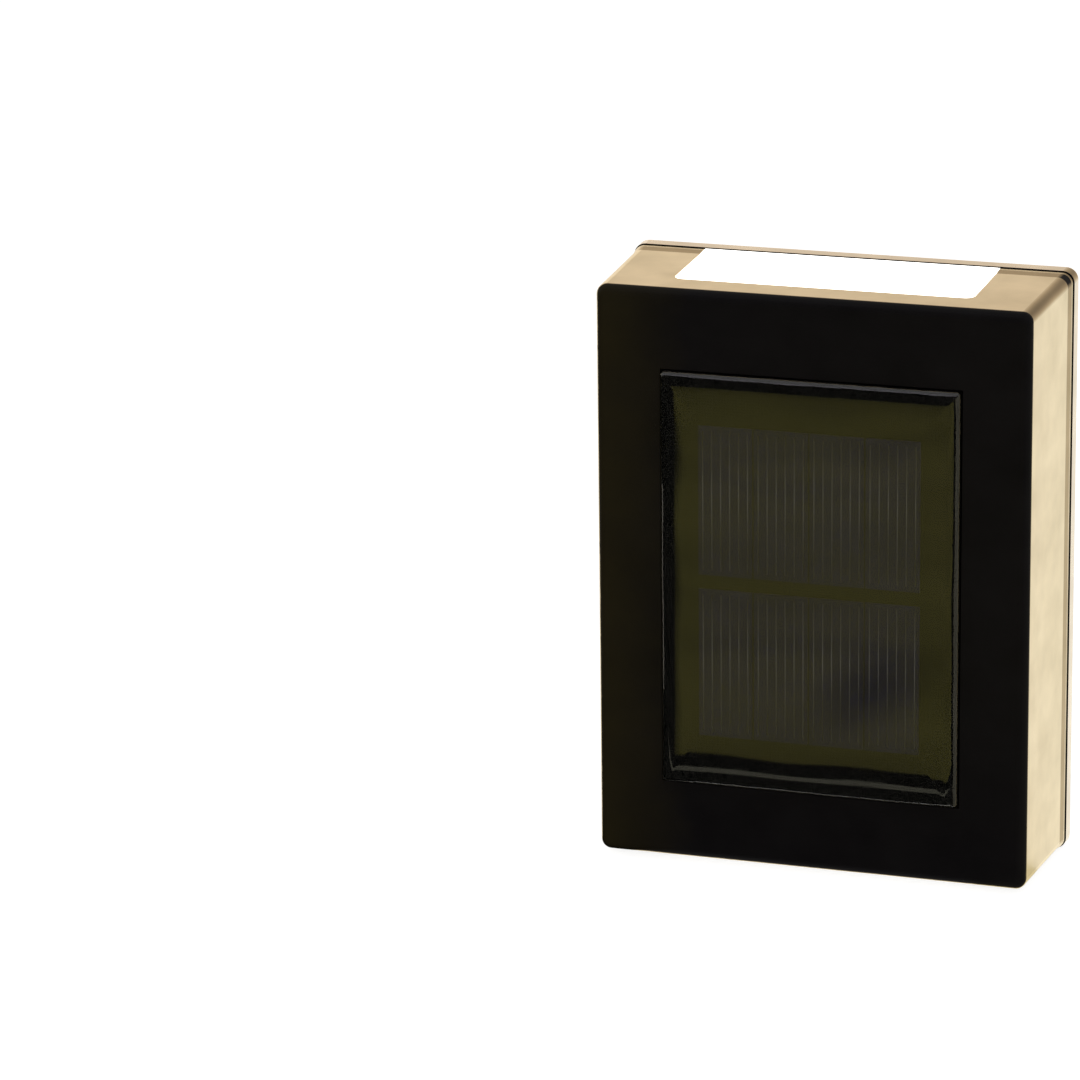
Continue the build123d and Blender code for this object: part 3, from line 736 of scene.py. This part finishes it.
def foam(name, tone):
    """Open foam tape: pits with a soft shade."""
    finish = Finish(name)
    pits = finish.node("TexVoronoi", {}, {"Vector": finish.place(), "Scale": 2800.0})
    return finish.done(
        finish.shader(
            Base_Color=finish.mix(pits, rgb((0.5, 0.5, 0.5), tone), rgb((1.0, 1.0, 1.0), tone)),
            Roughness=0.95,
            Normal=finish.bump(pits, 0.1 * MM),
        )
    )


def moulded(name, tone, roughness, grain_size):
    """Small moulded part: one tone with a fine grain."""
    finish = Finish(name)
    grain = finish.noise(grain_size)
    shade = finish.spread(finish.noise(grain_size * 9), 0.3, 0.7)
    return finish.done(
        finish.shader(
            Base_Color=finish.mix(shade, rgb(tone), rgb(tone, 1.25)),
            Roughness=roughness + 0.1 * grain,
            Normal=finish.bump(grain, 0.01 * MM),
        )
    )


def wire_sheath(name, tone):
    """PVC insulation: satin, slightly uneven along the wire."""
    finish = Finish(name)
    uneven = finish.noise(1.5 * MM)
    return finish.done(
        finish.shader(
            Base_Color=finish.mix(uneven, rgb(tone), rgb(tone, 0.8)),
            Roughness=0.34 + 0.12 * uneven,
            Normal=finish.bump(uneven, 0.02 * MM),
        )
    )


class FENCELIGHT_OT_power(bpy.types.Operator):
    """Dress the battery, its holder and contacts"""

    bl_idname = "fencelight.power"
    bl_label = "Dress the battery"

    def execute(self, context):
        dress(sleeve("battery sleeve", (0.02, 0.16, 0.05), (0.55, 0.55, 0.53)), "battery")
        dress(moulded("holder black", (0.012, 0.012, 0.012), 0.4, 0.3 * MM), "battery_holder")
        dress(foam("holder foam", 0.35), "holder_pad")
        nickel = brushed_steel("nickel plate", 0.68, 2 * MM)
        dress(nickel, "positive_contact", "negative_contact", "negative_spring")
        return {"FINISHED"}


class FENCELIGHT_OT_electronics(bpy.types.Operator):
    """Dress the control board, its parts and the leads"""

    bl_idname = "fencelight.electronics"
    bl_label = "Dress the electronics"

    def execute(self, context):
        green, copper = (0.012, 0.10, 0.03), (0.03, 0.20, 0.07)
        dress(printed_board("board green", green, copper, 1.7 * MM), "control_board")
        dress(moulded("chip black", (0.02, 0.02, 0.022), 0.5, 0.15 * MM), "charge_controller")
        dress(moulded("ferrite", (0.045, 0.042, 0.04), 0.7, 0.3 * MM), "storage_inductor")
        dress(brushed_steel("capacitor can", 0.72, 1 * MM), "capacitor")
        dress(moulded("switch body", (0.025, 0.025, 0.028), 0.4, 0.25 * MM), "power_switch")
        dress(moulded("switch plunger", (0.75, 0.74, 0.70), 0.4, 0.25 * MM), "switch_plunger")
        dress(wire_sheath("red sheath", (0.45, 0.02, 0.015)), "battery_leads", "panel_leads")
        dress(wire_sheath("white sheath", (0.72, 0.71, 0.68)), "upper_led_leads", "lower_led_leads")
        return {"FINISHED"}


class FENCELIGHT_OT_button(bpy.types.Operator):
    """Dress the power button and its seal"""

    bl_idname = "fencelight.button"
    bl_label = "Dress the button"

    def execute(self, context):
        dress(moulded("button black", (0.016, 0.015, 0.015), 0.34, 0.4 * MM), "power_button")
        dress(soft_rubber("button seal", 0.04), "button_seal")
        return {"FINISHED"}


# ---- Stage -------------------------------------------------------------------------------------
def stage_plane(name, centre, across, upward, material):
    """A flat stage surface: the corners are centre plus and minus the two half directions."""
    half = np.array([(-1, -1), (1, -1), (1, 1), (-1, 1)], float)
    points = np.array(centre) + half @ np.array([across, upward])
    mesh = bpy.data.meshes.new(name)
    mesh.from_pydata(points.tolist(), [], [(0, 1, 2, 3)])
    mesh.materials.append(material)
    surface = bpy.data.objects.new(name, mesh)
    bpy.context.scene.collection.objects.link(surface)
    return surface


def card(name, corner, across, upward, tone, soft=(0.01, 0.01, 0.01, 0.01)):
    """A glowing or black card that only reflections see.

    It runs from its corner along two directions, across and upward. It fades out over a share of its
    size: soft holds these shares for the start and end across, then the start and end upward.
    """
    finish = Finish(name)
    cover = finish.spread(finish.axis("X"), 0.0, soft[0])
    cover = cover * finish.spread(1.0 - finish.axis("X"), 0.0, soft[1])
    cover = cover * finish.spread(finish.axis("Y"), 0.0, soft[2])
    cover = cover * finish.spread(1.0 - finish.axis("Y"), 0.0, soft[3])
    cloud = finish.spread(finish.noise(0.12), 0.3, 0.7)
    light = finish.node(
        "Emission", sockets={"Color": finish.mix(cloud, rgb(tone, 0.65), rgb(tone))}
    )
    clear = finish.node("BsdfTransparent")
    surface = finish.done(finish.node("MixShader", sockets={0: cover, 1: clear, 2: light}))
    plane = stage_plane(name, (0.5, 0.5, 0), (0.5, 0, 0), (0, 0.5, 0), surface)
    turn = np.eye(4)
    turn[:3, 0] = across
    turn[:3, 1] = upward
    turn[:3, 2] = np.cross(across, upward)
    turn[:3, 3] = corner
    plane.matrix_world = Matrix(turn.tolist())
    plane.visible_camera = False
    plane.visible_diffuse = False
    plane.visible_shadow = False
    plane.visible_transmission = False


def floor_wedge(name, x, height, direction, side, tone, near_soft=0.01):
    """A card over the floor that starts at the panel's front and lies on one side of a direction.

    Its long edge runs from x along the direction, and its other edge is that direction turned by a
    quarter to the side, 1 for anticlockwise and -1 for clockwise.
    """
    reach = 0.6
    along = (direction[0] * reach, direction[1] * reach, 0)
    aside = (-side * direction[1] * reach, side * direction[0] * reach, 0)
    card(name, (x, PANEL_FRONT, height), along, aside, tone, (1e-4, 0.01, near_soft, 0.01))


class FENCELIGHT_OT_stage(bpy.types.Operator):
    """Set the floor, the surround, the lamp, the cards and the camera"""

    bl_idname = "fencelight.stage"
    bl_label = "Set the stage"

    def execute(self, context):
        stage = context.scene.fence_light_stage
        ground = cad_box[0][2]
        finish = Finish("pale floor")
        shown = finish.seen("Camera") * stage.floor_glow
        shown = shown + finish.seen("Glossy", "Transmission") * stage.mirrored_glow
        glow = finish.node("Emission", sockets={"Color": (1, 1, 1, 1), "Strength": shown})
        paint = finish.shader(Base_Color=rgb(stage.floor), Roughness=0.9, Specular_IOR_Level=0.0)
        floor_material = finish.done(finish.node("AddShader", sockets={0: glow, 1: paint}))
        stage_plane("floor", (0, 0, ground), (6, 0, 0), (0, 6, 0), floor_material)

        surround = Finish("surround", "worlds")
        shown = surround.seen("Camera", "Glossy", "Transmission")
        strength = stage.ambient + (1 - stage.ambient) * shown
        light = surround.node("Background", sockets={"Color": (1, 1, 1, 1), "Strength": strength})
        context.scene.world = surround.done(light, "OutputWorld")

        lamp = bpy.data.lights.new("large lamp", "AREA")
        lamp.shape = "RECTANGLE"
        lamp.size = 1.2
        lamp.size_y = 0.8
        lamp.energy = stage.lamp_power
        lamp.color = (1.0, 0.96, 0.9)
        holder = bpy.data.objects.new("large lamp", lamp)
        holder.location = (0.3, -1.1, 0.3)
        holder.rotation_euler = (-holder.location).to_track_quat("-Z", "Y").to_euler()
        holder.visible_camera = False
        holder.visible_glossy = False
        context.scene.collection.objects.link(holder)

        # corners and directions of the cards are in metres, in the light's own frame
        black = (0.0, 0.0, 0.0)
        dim = [part * 0.4 for part in stage.card_tone]
        wide = (6, 0, 0)
        high = (0, 0, 3)
        low = ground + 0.3 * MM
        card("room card", (-3, -1.6, ground), wide, high, black)
        card("rear card", (-3, 1.6, ground), wide, high, (1.04, 0.955, 0.89))
        card("upper card", (-3, -1.59, 1.7), wide, (0, 0, 1.35), (1.5, 1.45, 1.6))
        soft = (0.01, 0.01, 0.01, 1e-4)
        card("floor card", (-3, -3, low), wide, (0, 3 + PANEL_FRONT, 0), black, soft)
        soft = (0.01, 0.01, 0.25, 0.004)
        start = (-0.5, -0.43, low + 0.3 * MM)
        card("warm card", start, (1.0, 0, 0), (0, 0.3385, 0), stage.card_tone, soft)
        soft = (0.45, 0.45, 0.45, 0.45)
        start = (-0.029, -0.175, low + 0.6 * MM)
        card("dim card", start, (0.026, 0, 0), (0, 0.072, 0), dim, soft)
        floor_wedge("left card", -23.6 * MM, low + 0.6 * MM, (-0.311, -0.951), -1, black, 0.004)
        floor_wedge("right gap card", HALF_PANEL, low + 0.6 * MM, (0.5, -0.866), 1, black)
        tone = (0.9, 0.85, 0.65)
        floor_wedge("right card", HALF_PANEL, low + 0.9 * MM, (0.72, -0.694), 1, tone)
        soft = (0.15, 0.1, 0.08, 0.3)
        start = (-0.085, -0.0828, low + 1.0 * MM)
        card("near strip", start, (0.135, 0, 0), (0, 0.0045, 0), (0.8, 0.78, 0.6), soft)
        start = (-0.125, -0.045, ground)
        card("low side card", start, (0, 0.045, 0), (0, 0, 0.045), (1.0, 0.92, 0.8))

        lens = bpy.data.cameras.new("camera")
        lens.lens = stage.lens
        lens.sensor_width = 36.0
        lens.clip_end = 50.0
        camera = bpy.data.objects.new("camera", lens)
        camera.location = stage.camera_place
        camera.rotation_euler = stage.camera_turn
        context.scene.collection.objects.link(camera)
        context.scene.camera = camera
        context.scene.view_settings.view_transform = "Standard"
        return {"FINISHED"}


# ---- Panel and registration --------------------------------------------------------------------
OPERATORS = (
    FENCELIGHT_OT_stage,
    FENCELIGHT_OT_shell,
    FENCELIGHT_OT_windows,
    FENCELIGHT_OT_panel,
    FENCELIGHT_OT_power,
    FENCELIGHT_OT_electronics,
    FENCELIGHT_OT_button,
)
GROUPS = {
    "fence_light_panel": FenceLightPanelSizes,
    "fence_light_colours": FenceLightColours,
    "fence_light_stage": FenceLightStage,
}


class FENCELIGHT_PT_sidebar(bpy.types.Panel):
    """Lists the steps that dress the fence light"""

    bl_idname = "FENCELIGHT_PT_sidebar"
    bl_label = "Fence Light"
    bl_space_type = "VIEW_3D"
    bl_region_type = "UI"
    bl_category = "Fence Light"

    def draw(self, context):
        for operator in OPERATORS:
            self.layout.operator(operator.bl_idname)
        for group in GROUPS:
            settings = getattr(context.scene, group)
            box = self.layout.box()
            for name in settings.__annotations__:
                box.prop(settings, name)


def register():
    for name, group in GROUPS.items():
        bpy.utils.register_class(group)
        setattr(bpy.types.Scene, name, bpy.props.PointerProperty(type=group))
    for operator in OPERATORS:
        bpy.utils.register_class(operator)
    bpy.utils.register_class(FENCELIGHT_PT_sidebar)


def unregister():
    bpy.utils.unregister_class(FENCELIGHT_PT_sidebar)
    for operator in reversed(OPERATORS):
        bpy.utils.unregister_class(operator)
    for name, group in GROUPS.items():
        delattr(bpy.types.Scene, name)
        bpy.utils.unregister_class(group)


def main():
    """Make everything in order."""
    register()
    bpy.ops.fencelight.stage()
    bpy.ops.fencelight.shell()
    bpy.ops.fencelight.windows()
    bpy.ops.fencelight.panel()
    bpy.ops.fencelight.power()
    bpy.ops.fencelight.electronics()
    bpy.ops.fencelight.button()


if __name__ == "__main__":
    main()
